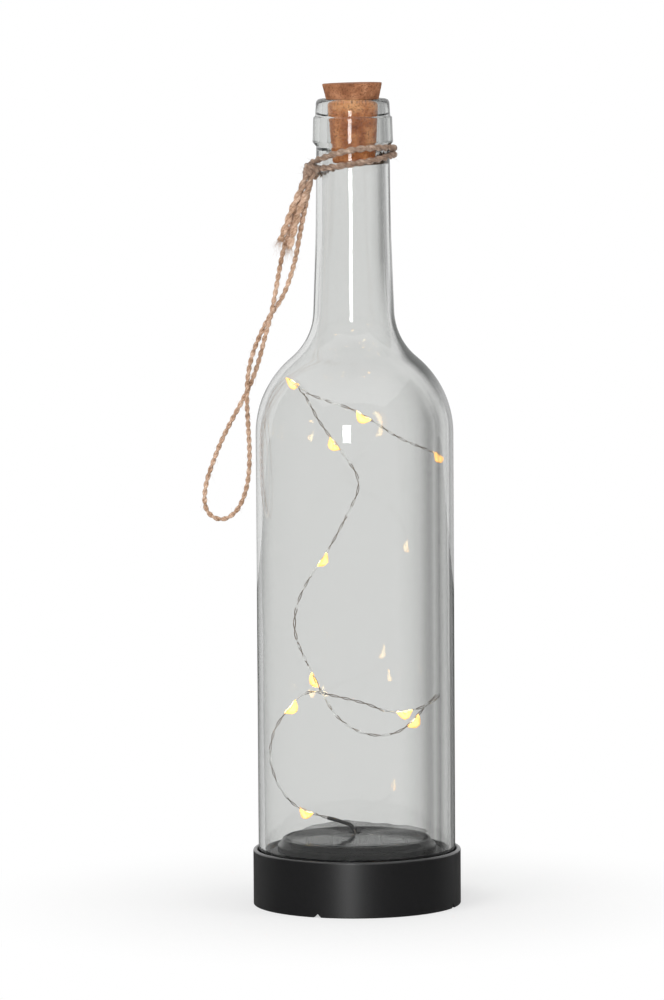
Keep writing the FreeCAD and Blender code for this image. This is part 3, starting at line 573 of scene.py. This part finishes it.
wraps_points = [wrap_place(i / wrap_steps) for i in range(wrap_turns * wrap_steps + 1)]
wraps_line = paced(smooth_line(wraps_points), turn_step)
loop_line = paced(smooth_line(in_metres(loop_route)), twine_step)
long_tail_line = paced(smooth_line(in_metres(long_tail_route)), twine_step)
short_tail_line = paced(smooth_line(in_metres(short_tail_route)), twine_step)
wraps = twine("twine_turns", wraps_line, wrap_thickness, wrap_lay)
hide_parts("twine_wraps")
loop = twine("twine_hanging_loop", loop_line, loop_thickness, loop_lay,
             lambda share: 1 + 0.4 * max(0, abs(2 * share - 1) - 0.6) / 0.4)
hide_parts("twine_loop")
long_tail = twine("twine_long_end", long_tail_line, tail_thickness, tail_lay)
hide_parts("twine_long_tail")
short_tail = twine("twine_short_end", short_tail_line, tail_thickness, tail_lay)
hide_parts("twine_short_tail")

# Knot. The jute twine is tied upon itself in front on the left. It passes almost three times round the
# strands that hang from it, and holds the turns tight round the neck.
knot_middle = Vector((-15.5, -10.6, 278.2)) * mm
knot_lean = Vector((0.75, 0, 1)).normalized()
knot_side = knot_lean.orthogonal().normalized()
knot_front = knot_lean.cross(knot_side)
knot_height = 6.4 * mm
knot_radius = 1.7 * mm
knot_turns = 2.6
knot_thickness = 2.4 * mm
knot_lay = 8.0 * mm
knot_steps = 12


def knot_place(share):
    """A point of the knot's turns, from its bottom to its top."""
    angle = 2 * math.pi * knot_turns * share
    bulge = knot_radius * (0.82 + 0.3 * math.sin(math.pi * share))
    across = knot_side * math.cos(angle) + knot_front * math.sin(angle)
    return knot_middle + across * bulge + knot_lean * (knot_height * (share - 0.5) * 0.78)


knot_count = round(knot_turns * knot_steps)
knot_points = [knot_place(i / knot_count) for i in range(knot_count + 1)]
knot_line = paced(smooth_line(knot_points), twine_step)
knot = twine("twine_knot_turns", knot_line, knot_thickness, knot_lay)
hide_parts("twine_knot")

# Loose fibres. Short jute fibres stand off every strand of the twine and flare out at its two cut ends.
# They are part of the yarn, and stand closest together at the knot.
hair_thickness = 0.075 * mm
flare_reach = 1.68 * mm
knot_hair_ring = 2.1 * mm
chance = random.Random(5)
strands = Strands()


def hair(start, way, length, bend):
    """One thin curved fibre."""
    line = []
    for k in range(6):
        share = k / 5
        line.append(start + way * (length * share) + bend * (length * share * share))
    strands.lay(line, hair_thickness, 3, taper=lambda share: 1 - 0.6 * share)


for line, thickness, density in ((wraps_line, wrap_thickness, 1400), (loop_line, loop_thickness, 900),
                                 (long_tail_line, loop_thickness, 2000),
                                 (short_tail_line, loop_thickness, 2000),
                                 (knot_line, knot_hair_ring, 2200)):
    sides = carried(line)
    length = sum((b - a).length for a, b in zip(line, line[1:]))
    for _ in range(int(length * density)):
        i = chance.randrange(1, len(line) - 1)
        across, over = sides[i]
        angle = chance.uniform(0, 2 * math.pi)
        out = across * math.cos(angle) + over * math.sin(angle)
        ahead = (line[i + 1] - line[i]).normalized() * chance.choice((-1, 1))
        way = (out * chance.uniform(0.25, 0.9) + ahead).normalized()
        if Vector((out.x, out.y)).dot(Vector((line[i].x, line[i].y))) < 0 and thickness > loop_thickness:
            continue
        bend = Vector([chance.uniform(-0.5, 0.5) for _ in range(3)])
        hair(line[i] + out * thickness * 0.4, way, chance.uniform(0.8, 3.0) * mm, bend)
for line in (long_tail_line, short_tail_line):
    ahead = (line[-1] - line[-4]).normalized()
    for _ in range(60):
        spread = Vector([chance.uniform(-0.45, 0.45) for _ in range(3)])
        bend = Vector([chance.uniform(-0.35, 0.35) for _ in range(3)])
        reach = chance.uniform(2.0, 5.5) * mm
        hair(line[-3] + spread * flare_reach, (ahead + spread).normalized(), reach, bend)
hairs = strands.piece("twine_loose_fibres", jute)
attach(hairs, "light")

# Bottle. Clear glass, blown with a thin body and a thick neck, has a ring and a lip at its mouth and is
# cut open at its foot. Its walls are a little uneven, and it stands in silicone in the base.
glass_radius = 37.2
glass_wall = 2.2
neck_wall = 2.8
shoulder_height = 195.4
neck_root_height = 214.0
neck_root_radius = 15.5
neck_radius = 14.25
neck_taper_top = 252.0
throat_radius = 13.75
ring_bottom = 286.3
ring_radius = 15.1
ring_top = 297.2
lip_radius = 13.7
lip_top = 304.1
bore_radius = 9.65
bore_bottom = 287.6
glass_foot = 7.0
glass_clear = 0.855
glass_tone = (0.996, 1.0, 0.992)
# Painted shade: the outer wall on the right side is darkened in bands by how edge-on it is seen, standing
# for the dark room seen in the glass there.
painted_shade_bands = [(0.10, 1.0), (0.165, 0.87), (0.245, 0.64), (0.31, 0.36), (0.345, 0.29), (0.375, 0.34),
               (0.41, 0.55), (0.445, 0.38), (0.485, 0.25), (0.53, 0.62), (0.59, 1.16), (0.66, 1.16),
               (0.72, 0.14), (0.80, 0.42), (0.95, 0.25)]
bands_from_right = (0.1, 0.55)
# Painted shade along the edge of the right shoulder: the heights it spans, the slant it starts at, and
# its colour.
rim_foot = (0.186, 0.203)
rim_head = (0.245, 0.220)
rim_slant = (0.50, 0.64)
painted_rim_shade = (0.06, 0.062, 0.06, 1)
# Painted shade at the glass's edges: a dark see-through tone where it is seen edge-on.
edge_shade = (0.30, 0.31, 0.30, 1)
glass_tint = (0.475, 0.50, 0.475, 1)
glass_density = 38
glass_shadow = (0.94, 0.95, 0.94, 1)
slope = math.atan2(glass_radius - neck_root_radius, neck_root_height - shoulder_height)
shift = math.tan(slope / 2)
slant = math.hypot(glass_radius - neck_root_radius, neck_root_height - shoulder_height)
shoulder_arc = 0.60 * slant / shift
neck_arc = 0.38 * slant / shift
neck_inner = neck_radius - neck_wall
glass_corners = [
    (glass_radius, glass_foot, 0.6),
    (glass_radius, shoulder_height, shoulder_arc),
    (neck_root_radius, neck_root_height, neck_arc),
    (neck_radius, neck_taper_top, 0),
    (throat_radius, ring_bottom, 0.8),
    (ring_radius, ring_bottom + 1.6, 0.5),
    (ring_radius - 0.35, ring_top, 0.5),
    (lip_radius + 0.35, ring_top + 0.5, 0.5),
    (lip_radius, lip_top, 1.8),
    (bore_radius, lip_top, 2.0),
    (bore_radius, bore_bottom, 0.5),
    (neck_inner, bore_bottom - 8.0, 4.0),
    (neck_inner, neck_taper_top, 0),
    (neck_root_radius - glass_wall, neck_root_height - glass_wall * shift, neck_arc + glass_wall),
    (glass_radius - glass_wall, shoulder_height - glass_wall * shift, shoulder_arc - glass_wall),
    (glass_radius - glass_wall, glass_foot, 0.6)]


def rounded_outline(corners, longest):
    """Points of a closed outline from corners given as radius, height and rounding, in millimetres."""
    points = []
    for i, (radius, height, rounding) in enumerate(corners):
        corner = Vector((radius, height))
        before = (Vector(corners[i - 1][:2]) - corner).normalized()
        after = (Vector(corners[(i + 1) % len(corners)][:2]) - corner).normalized()
        if not rounding:
            points.append(corner)
            continue
        half = before.angle(after) / 2
        middle = corner + (before + after).normalized() * (rounding / math.sin(half))
        start = corner + before * (rounding / math.tan(half)) - middle
        end = corner + after * (rounding / math.tan(half)) - middle
        turn = math.atan2(start.x * end.y - start.y * end.x, start.dot(end))
        steps = max(5, round(abs(turn) * rounding / 1.2))
        for k in range(steps + 1):
            cosine = math.cos(turn * k / steps)
            sine = math.sin(turn * k / steps)
            points.append(middle + Vector((start.x * cosine - start.y * sine,
                                           start.x * sine + start.y * cosine)))
    outline = []
    for point, following in zip(points, points[1:] + points[:1]):
        pieces = max(1, round((following - point).length / longest))
        outline += [point.lerp(following, k / pieces) for k in range(pieces)]
    return outline


def lathe(name, outline, sides, shape=None, outer_rows=0):
    """A closed ring of revolution from an outline in millimetres, whose radius a function may change.
    The rows of its outer wall are marked, so that a finish can tell them from the rest."""
    points = []
    faces = []
    marks = []
    for radius, height in outline:
        for k in range(sides):
            angle = 2 * math.pi * k / sides
            reach = radius + (shape(radius, angle, height) if shape else 0)
            points.append(Vector((reach * math.cos(angle), reach * math.sin(angle), height)) * mm)
    rows = len(outline)
    for i in range(rows):
        for k in range(sides):
            a = i * sides + k
            b = i * sides + (k + 1) % sides
            c = ((i + 1) % rows) * sides
            faces.append((a, b, c + (k + 1) % sides, c + k))
            marks += [(0, 1 if i < outer_rows else 0)] * 4
    return skin(name, points, faces, marks)


def uneven(radius, angle, height):
    """How far a blown wall strays from round: more inside than outside, and mostly along its length."""
    inside = radius < (glass_radius - glass_wall / 2 if height < shoulder_height else neck_root_radius)
    share = 0.16 if inside and height < ring_bottom - 10 else 0.03
    drift = noise.noise(Vector((math.cos(angle) * 1.6, math.sin(angle) * 1.6, height * 0.012)))
    ripple = noise.noise(Vector((math.cos(angle) * 5, math.sin(angle) * 5, height * 0.03 + 7)))
    return share * (drift + 0.35 * ripple) - share * 0.2


def from_axis(place):
    """The part of a place that lies across the upright axis."""
    return place.node("ShaderNodeVectorMath", {"operation": "MULTIPLY"}, {0: place, 1: (1, 1, 0)})


clear_glass, shader, place = finish("clear_glass", Roughness=0.0, IOR=1.5, Transmission_Weight=1.0)
slant_seen = place.node("ShaderNodeLayerWeight", {}, {"Blend": 0.5}, "Facing")
outer = Signal(clear_glass.node_tree.nodes.new("ShaderNodeUVMap").outputs["UV"])
outer.socket.node.uv_map = "strand"
outer = coordinate(outer, "Y")
heading = place.node("ShaderNodeVectorMath", {"operation": "NORMALIZE"}, {0: from_axis(place)})
# Painted shade: on the right side of the outer wall the colour is darkened in bands by how edge-on the
# glass is seen, less so at the shoulder.
on_right = outer * climb(coordinate(heading, "X"), *bands_from_right)
painted_band_wobble = grain(place, 60, 2, (1, 1, 0.06))
painted_shade_banded = shades(slant_seen + (painted_band_wobble - 0.5) * 0.05, *[
    (stop, tuple(glass_clear * share * tone for tone in glass_tone)) for stop, share in painted_shade_bands])
evenly = tuple(glass_clear * tone for tone in glass_tone) + (1,)
height = coordinate(place, "Z")
shoulder = climb(height, *rim_foot) * climb(height, *rim_head)
painted_shade_banded = mixed(on_right * (1 - 0.8 * shoulder), evenly, painted_shade_banded)
# Painted shade along the edge of the right shoulder, darkening the glass's colour there.
painted_shoulder_shade = shoulder * climb(slant_seen, *rim_slant) * on_right
feed(shader, "Base Color", mixed(painted_shoulder_shade * 0.95, painted_shade_banded, painted_rim_shade))
tree = clear_glass.node_tree
tint = tree.nodes.new("ShaderNodeVolumeAbsorption")
tint.inputs["Color"].default_value = glass_tint
tint.inputs["Density"].default_value = glass_density
tree.links.new(tint.outputs[0], tree.nodes["Material Output"].inputs["Volume"])
clear = tree.nodes.new("ShaderNodeBsdfTransparent")
clear.inputs["Color"].default_value = glass_shadow
pass_shadow = tree.nodes.new("ShaderNodeMixShader")
paths = tree.nodes.new("ShaderNodeLightPath").outputs
lit_through = place.maths("MAXIMUM", Signal(paths["Is Shadow Ray"]), Signal(paths["Is Diffuse Ray"]))
tree.links.new(lit_through.socket, pass_shadow.inputs[0])
tree.links.new(shader.outputs[0], pass_shadow.inputs[1])
tree.links.new(clear.outputs[0], pass_shadow.inputs[2])
# Painted shade: a dark see-through layer mixed in where the glass is seen edge-on, and on the right
# shoulder.
painted_edge_shade = tree.nodes.new("ShaderNodeBsdfTransparent")
painted_edge_shade.inputs["Color"].default_value = edge_shade
painted_edge_mix = tree.nodes.new("ShaderNodeMixShader")
tree.links.new(place.maths("MAXIMUM", slant_seen ** 7 * 0.85, painted_shoulder_shade * 0.6).socket, painted_edge_mix.inputs[0])
tree.links.new(pass_shadow.outputs[0], painted_edge_mix.inputs[1])
tree.links.new(painted_edge_shade.outputs[0], painted_edge_mix.inputs[2])
tree.links.new(painted_edge_mix.outputs[0], tree.nodes["Material Output"].inputs["Surface"])
glass_outline = rounded_outline(glass_corners, 4)
outer_rows = next(i for i, point in enumerate(glass_outline) if point.x < lip_radius - 1.9)
bottle = lathe("blown_bottle", glass_outline, 192, uneven, outer_rows)
bottle.data.materials.append(clear_glass)
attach(bottle, "light")
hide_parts("bottle_glass")

# Cork. A tapered stopper of natural cork is pushed into the mouth at a slight lean. Its sides are full
# of small pores, and its top edge is sharp and a little chipped.
cork_foot_radius = 8.1
cork_top_radius = 11.3
cork_throat = 302.4
cork_throat_radius = 9.55
cork_top = 309.9
cork_foot = 281.4
cork_lean = math.radians(1.2)
cork_corners = [(0.02, cork_foot, 0), (cork_foot_radius, cork_foot, 0.5),
                (cork_throat_radius, cork_throat, 0), (cork_top_radius, cork_top, 0.3),
                (0.02, cork_top, 0)]
# Painted light: inside the mouth the cork's colour is lighter and more orange, and lighter still in a
# band just under the lip, for the light the glass gathers there.
cork_out_of_bore = (0.3035, 0.3025)
cork_under_lip = (0.2985, 0.3010)
cork_pore = (0.11, 0.045, 0.02, 1)


def worn(radius, angle, height):
    """How far pores and chips lie below the cork's smooth side."""
    spot = Vector((radius * math.cos(angle), radius * math.sin(angle), height))
    pores = max(0, noise.noise(spot * 1.1) - 0.12) * 0.9
    edge = max(0, 1 - math.hypot(radius - cork_top_radius, height - cork_top) / 1.1)
    chips = max(0, noise.noise(spot * 0.45 + Vector((9, 0, 0))) + 0.05) * 1.3 * edge
    fine = abs(noise.noise(spot * 3.0)) * 0.10
    return -(pores + chips + fine) * min(1, radius / 4)


cork_outline = [point for point in rounded_outline(cork_corners, 0.35) if point.x > 0.01]
cork_skin = lathe("cork_body", cork_outline, 168, worn)
tilt = Matrix.Translation((0, 0, cork_throat * mm)) @ Matrix.Rotation(-cork_lean, 4, "Y")
cork_skin.data.transform(tilt @ Matrix.Translation((0, 0, -cork_throat * mm)))
cork_finish, shader, place = finish("cork_finish", Roughness=0.86, Specular_IOR_Level=0.25)
cloud = grain(place, 260, 5)
specks = grain(place, 1900, 2)
body = shades(cloud, (0.32, (0.21, 0.08, 0.037)), (0.5, (0.345, 0.145, 0.07)),
              (0.68, (0.47, 0.22, 0.115)))
# Painted light: lighter copies of the cork's colour, one for inside the mouth and a brighter one for the
# band under the lip.
painted_bore_light = shades(cloud, (0.32, (0.36, 0.10, 0.033)), (0.5, (0.60, 0.21, 0.075)),
                 (0.68, (0.82, 0.36, 0.15)))
bright = shades(cloud, (0.32, (0.50, 0.17, 0.06)), (0.5, (0.78, 0.33, 0.13)),
                (0.68, (0.95, 0.48, 0.22)))
height = coordinate(place, "Z")
painted_bore_light = mixed(climb(height, *cork_under_lip), painted_bore_light, bright)
body = mixed(climb(height, *cork_out_of_bore), body, painted_bore_light)
pores = place.maths("MINIMUM", place.maths("MAXIMUM", (0.45 - specks) * 7, 0), 0.7)
feed(shader, "Base Color", mixed(pores, body, cork_pore))
relief(shader, specks * 0.6 + cloud * 0.4, 0.35 * mm)
cork_skin.data.materials.append(cork_finish)
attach(cork_skin, "cork")
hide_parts("cork_stopper")

# Base. The collar, web and plug are one moulding in black plastic with a fine satin grain, glossier on
# the outside. The tray that closes the plug is in the same black, and a dark silicone ring seals the
# glass.
collar_inside = 37.3 * mm


def dress(material, *nodes):
    """Gives CAD pieces their finish."""
    for name in nodes:
        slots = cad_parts[name].data.materials
        slots.clear()
        slots.append(material)


moulded, shader, place = finish("satin_black", Roughness=0.42, Specular_IOR_Level=0.1,
                                Coat_Roughness=0.36, Coat_IOR=1.75)
speck = grain(place, 2600, 2)
feed(shader, "Base Color", shades(speck, (0.35, (0.006, 0.006, 0.0065)), (0.7, (0.013, 0.013, 0.014))))
feed(shader, "Roughness", grain(place, 900, 2) * 0.12 + 0.34)
relief(shader, speck, 0.05 * mm)
radial = place.node("ShaderNodeVectorMath", {"operation": "LENGTH"}, {0: from_axis(place)}, "Value")
feed(shader, "Coat Weight", climb(radial, collar_inside, collar_inside + mm, 0.9))
dress(moulded, "base_cup", "bottom_cover", "battery_door")
smooth_black, shader, place = finish("smooth_black", Roughness=0.14, Specular_IOR_Level=0.11)
feed(shader, "Base Color", shades(grain(place, 500), (0.35, (0.008, 0.008, 0.008)),
                                  (0.7, (0.015, 0.015, 0.016))))
feed(shader, "Roughness", grain(place, 240, 3) * 0.08 + 0.10)
dress(smooth_black, "panel_tray", "switch_knob")
silicone, shader, place = finish("silicone", Roughness=0.45, Subsurface_Weight=0.2)
feed(shader, "Base Color", shades(grain(place, 300), (0.3, (0.02, 0.02, 0.021)),
                                  (0.7, (0.035, 0.035, 0.036))))
dress(silicone, "glass_seat_ring")

# Solar panel. A coated board carries four dark cell strips, each crossed by fine printed fingers. Its
# grommet is soft black rubber.
panel_coat, shader, place = finish("panel_coat", Roughness=0.3, Specular_IOR_Level=0.25)
feed(shader, "Base Color", shades(grain(place, 700), (0.3, (0.012, 0.016, 0.02)),
                                  (0.7, (0.022, 0.027, 0.032))))
dress(panel_coat, "solar_board")
cell_finish, shader, place = finish("solar_cell", Roughness=0.16, Specular_IOR_Level=0.3,
                                    Coat_Weight=0.35)
fingers = place.node("ShaderNodeTexWave", {"bands_direction": "Y"}, {"Vector": place, "Scale": 120.0})
feed(shader, "Base Color", shades(fingers, (0.86, (0.008, 0.012, 0.028)), (0.97, (0.16, 0.17, 0.18))))
dress(cell_finish, "solar_cells")
rubber, shader, place = finish("black_rubber", Roughness=0.7)
feed(shader, "Base Color", shades(grain(place, 1500), (0.3, (0.014, 0.014, 0.014)),
                                  (0.7, (0.026, 0.026, 0.026))))
dress(rubber, "wire_grommet")

# Film. A thin clear film lies creased over the panel. It lifts in a peak behind the wire and at its
# right edge, and it mirrors what stands above it.
film_radius = 28.05 * mm
film_rest = 25.3 * mm
film_lift = 2.1 * mm
film_crease = 0.55 * mm
film_thickness = 0.12 * mm
film_rings = 26
film_sides = 96
film_hole = 2.6 * mm
film_middle = Vector((-0.5, 11.0)) * mm
film_shares = [(-0.98, -0.1, 0), (-0.72, -0.66, 0), (-0.1, -0.97, 0), (0.5, -0.84, 0),
               (0.88, -0.42, 0), (0.97, 0.1, 0.8), (0.75, 0.6, 0.7), (0.3, 0.75, 0.8),
               (-0.15, 0.78, 1.5), (-0.62, 0.7, 0.7)]


def film_edge(angle):
    """Where the film's cut edge lies in that direction from the wire, and how far it lifts there."""
    way = Vector((math.cos(angle), math.sin(angle)))
    for i, (x, y, lift) in enumerate(film_shares):
        x_next, y_next, lift_next = film_shares[(i + 1) % len(film_shares)]
        a = Vector((x, y)) * film_radius - film_middle
        b = Vector((x_next, y_next)) * film_radius - film_middle
        run = b - a
        cross = way.x * run.y - way.y * run.x
        if abs(cross) < 1e-12:
            continue
        reach = (a.x * run.y - a.y * run.x) / cross
        share = (a.x * way.y - a.y * way.x) / cross
        if reach > 0 and 0 <= share <= 1:
            return reach, lift + (lift_next - lift) * share
    return film_radius, 0


points = []
for i in range(film_rings + 1):
    share = i / film_rings
    for k in range(film_sides):
        angle = 2 * math.pi * k / film_sides
        reach, lift = film_edge(angle)
        out = film_hole + (reach - film_hole) * share
        x = film_middle.x + math.cos(angle) * out
        y = film_middle.y + math.sin(angle) * out
        crease = abs(noise.noise(Vector((x * 140, y * 140, 3))))
        crease += 0.5 * abs(noise.noise(Vector((x * 330, y * 330, 8))))
        z = film_rest + film_lift * lift * share + crease * film_crease * share * (0.25 + lift)
        points.append((x, y, z))
film = skin("creased_film", points, rings_of_faces(film_rings, film_sides))
layer = film.modifiers.new("thickness", "SOLIDIFY")
layer.thickness = film_thickness
layer.offset = 1
film_finish, shader, place = finish("clear_film", Roughness=0.05, IOR=1.5, Specular_IOR_Level=0.35)
shader.inputs["Base Color"].default_value = (0.015, 0.016, 0.017, 1)
feed(shader, "Alpha", grain(place, 120, 3) * 0.3 + 0.25)
feed(shader, "Roughness", grain(place, 400, 2) * 0.08 + 0.02)
film.data.materials.append(film_finish)
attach(film, "light")
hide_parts("panel_film")

# Screws, contacts and spring. Plated steel screws hold the cover and the door, and the contacts and
# the spring in the battery bay are nickel-plated.
plated, shader, place = finish("plated_steel", Metallic=1.0, Roughness=0.32)
feed(shader, "Base Color", shades(grain(place, 1800), (0.3, (0.42, 0.42, 0.43)),
                                  (0.7, (0.62, 0.62, 0.63))))
dress(plated, "cover_screws", "door_screw", "switch_body")
nickel, shader, place = finish("nickel", Metallic=1.0, Roughness=0.2)
feed(shader, "Base Color", shades(grain(place, 1200), (0.3, (0.58, 0.56, 0.52)),
                                  (0.7, (0.74, 0.72, 0.68))))
dress(nickel, "battery_plus_contact", "battery_minus_contact", "battery_spring")

# Cell. A rechargeable cell in a plain green shrink jacket, whose bare end plates show at both ends. It
# lies in the cover's bay between a flat contact and a spring, and comes out once the door is off.
end_plate = 1.3 * mm
jacket, shader, place = finish("battery_jacket", Roughness=0.3, Coat_Weight=0.4)
low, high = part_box("battery_cell")
from_middle = place.maths("ABSOLUTE", coordinate(place, "X") - (low.x + high.x) / 2)
ends = place.maths("GREATER_THAN", from_middle, (high.x - low.x) / 2 - end_plate)
green = shades(grain(place, 600), (0.3, (0.03, 0.16, 0.08)), (0.7, (0.05, 0.22, 0.11)))
feed(shader, "Base Color", mixed(ends, green, (0.6, 0.6, 0.58, 1)))
feed(shader, "Metallic", ends)
dress(jacket, "battery_cell")

# Driver. A green board on the cover's posts with a coil, a chip and a capacitor, and insulated leads to
# the panel and the battery contacts.
mask_green, shader, place = finish("board_green", Roughness=0.35, Coat_Weight=0.3)
tracks = place.node("ShaderNodeTexBrick", {}, {
    "Vector": place, "Scale": 320.0, "Color1": (0.02, 0.10, 0.05, 1),
    "Color2": (0.015, 0.085, 0.042, 1), "Mortar": (0.03, 0.16, 0.08, 1)})
feed(shader, "Base Color", tracks)
dress(mask_green, "circuit_board")
ferrite, shader, place = finish("dark_component", Roughness=0.55)
feed(shader, "Base Color", shades(grain(place, 2200), (0.3, (0.012, 0.012, 0.012)),
                                  (0.7, (0.035, 0.035, 0.037))))
dress(ferrite, "inductor", "driver_chip", "capacitor")
insulation, shader, place = finish("lead_insulation", Roughness=0.38)
feed(shader, "Base Color", shades(grain(place, 900), (0.3, (0.012, 0.012, 0.013)),
                                  (0.7, (0.025, 0.025, 0.027))))
dress(insulation, "panel_leads", "battery_leads")
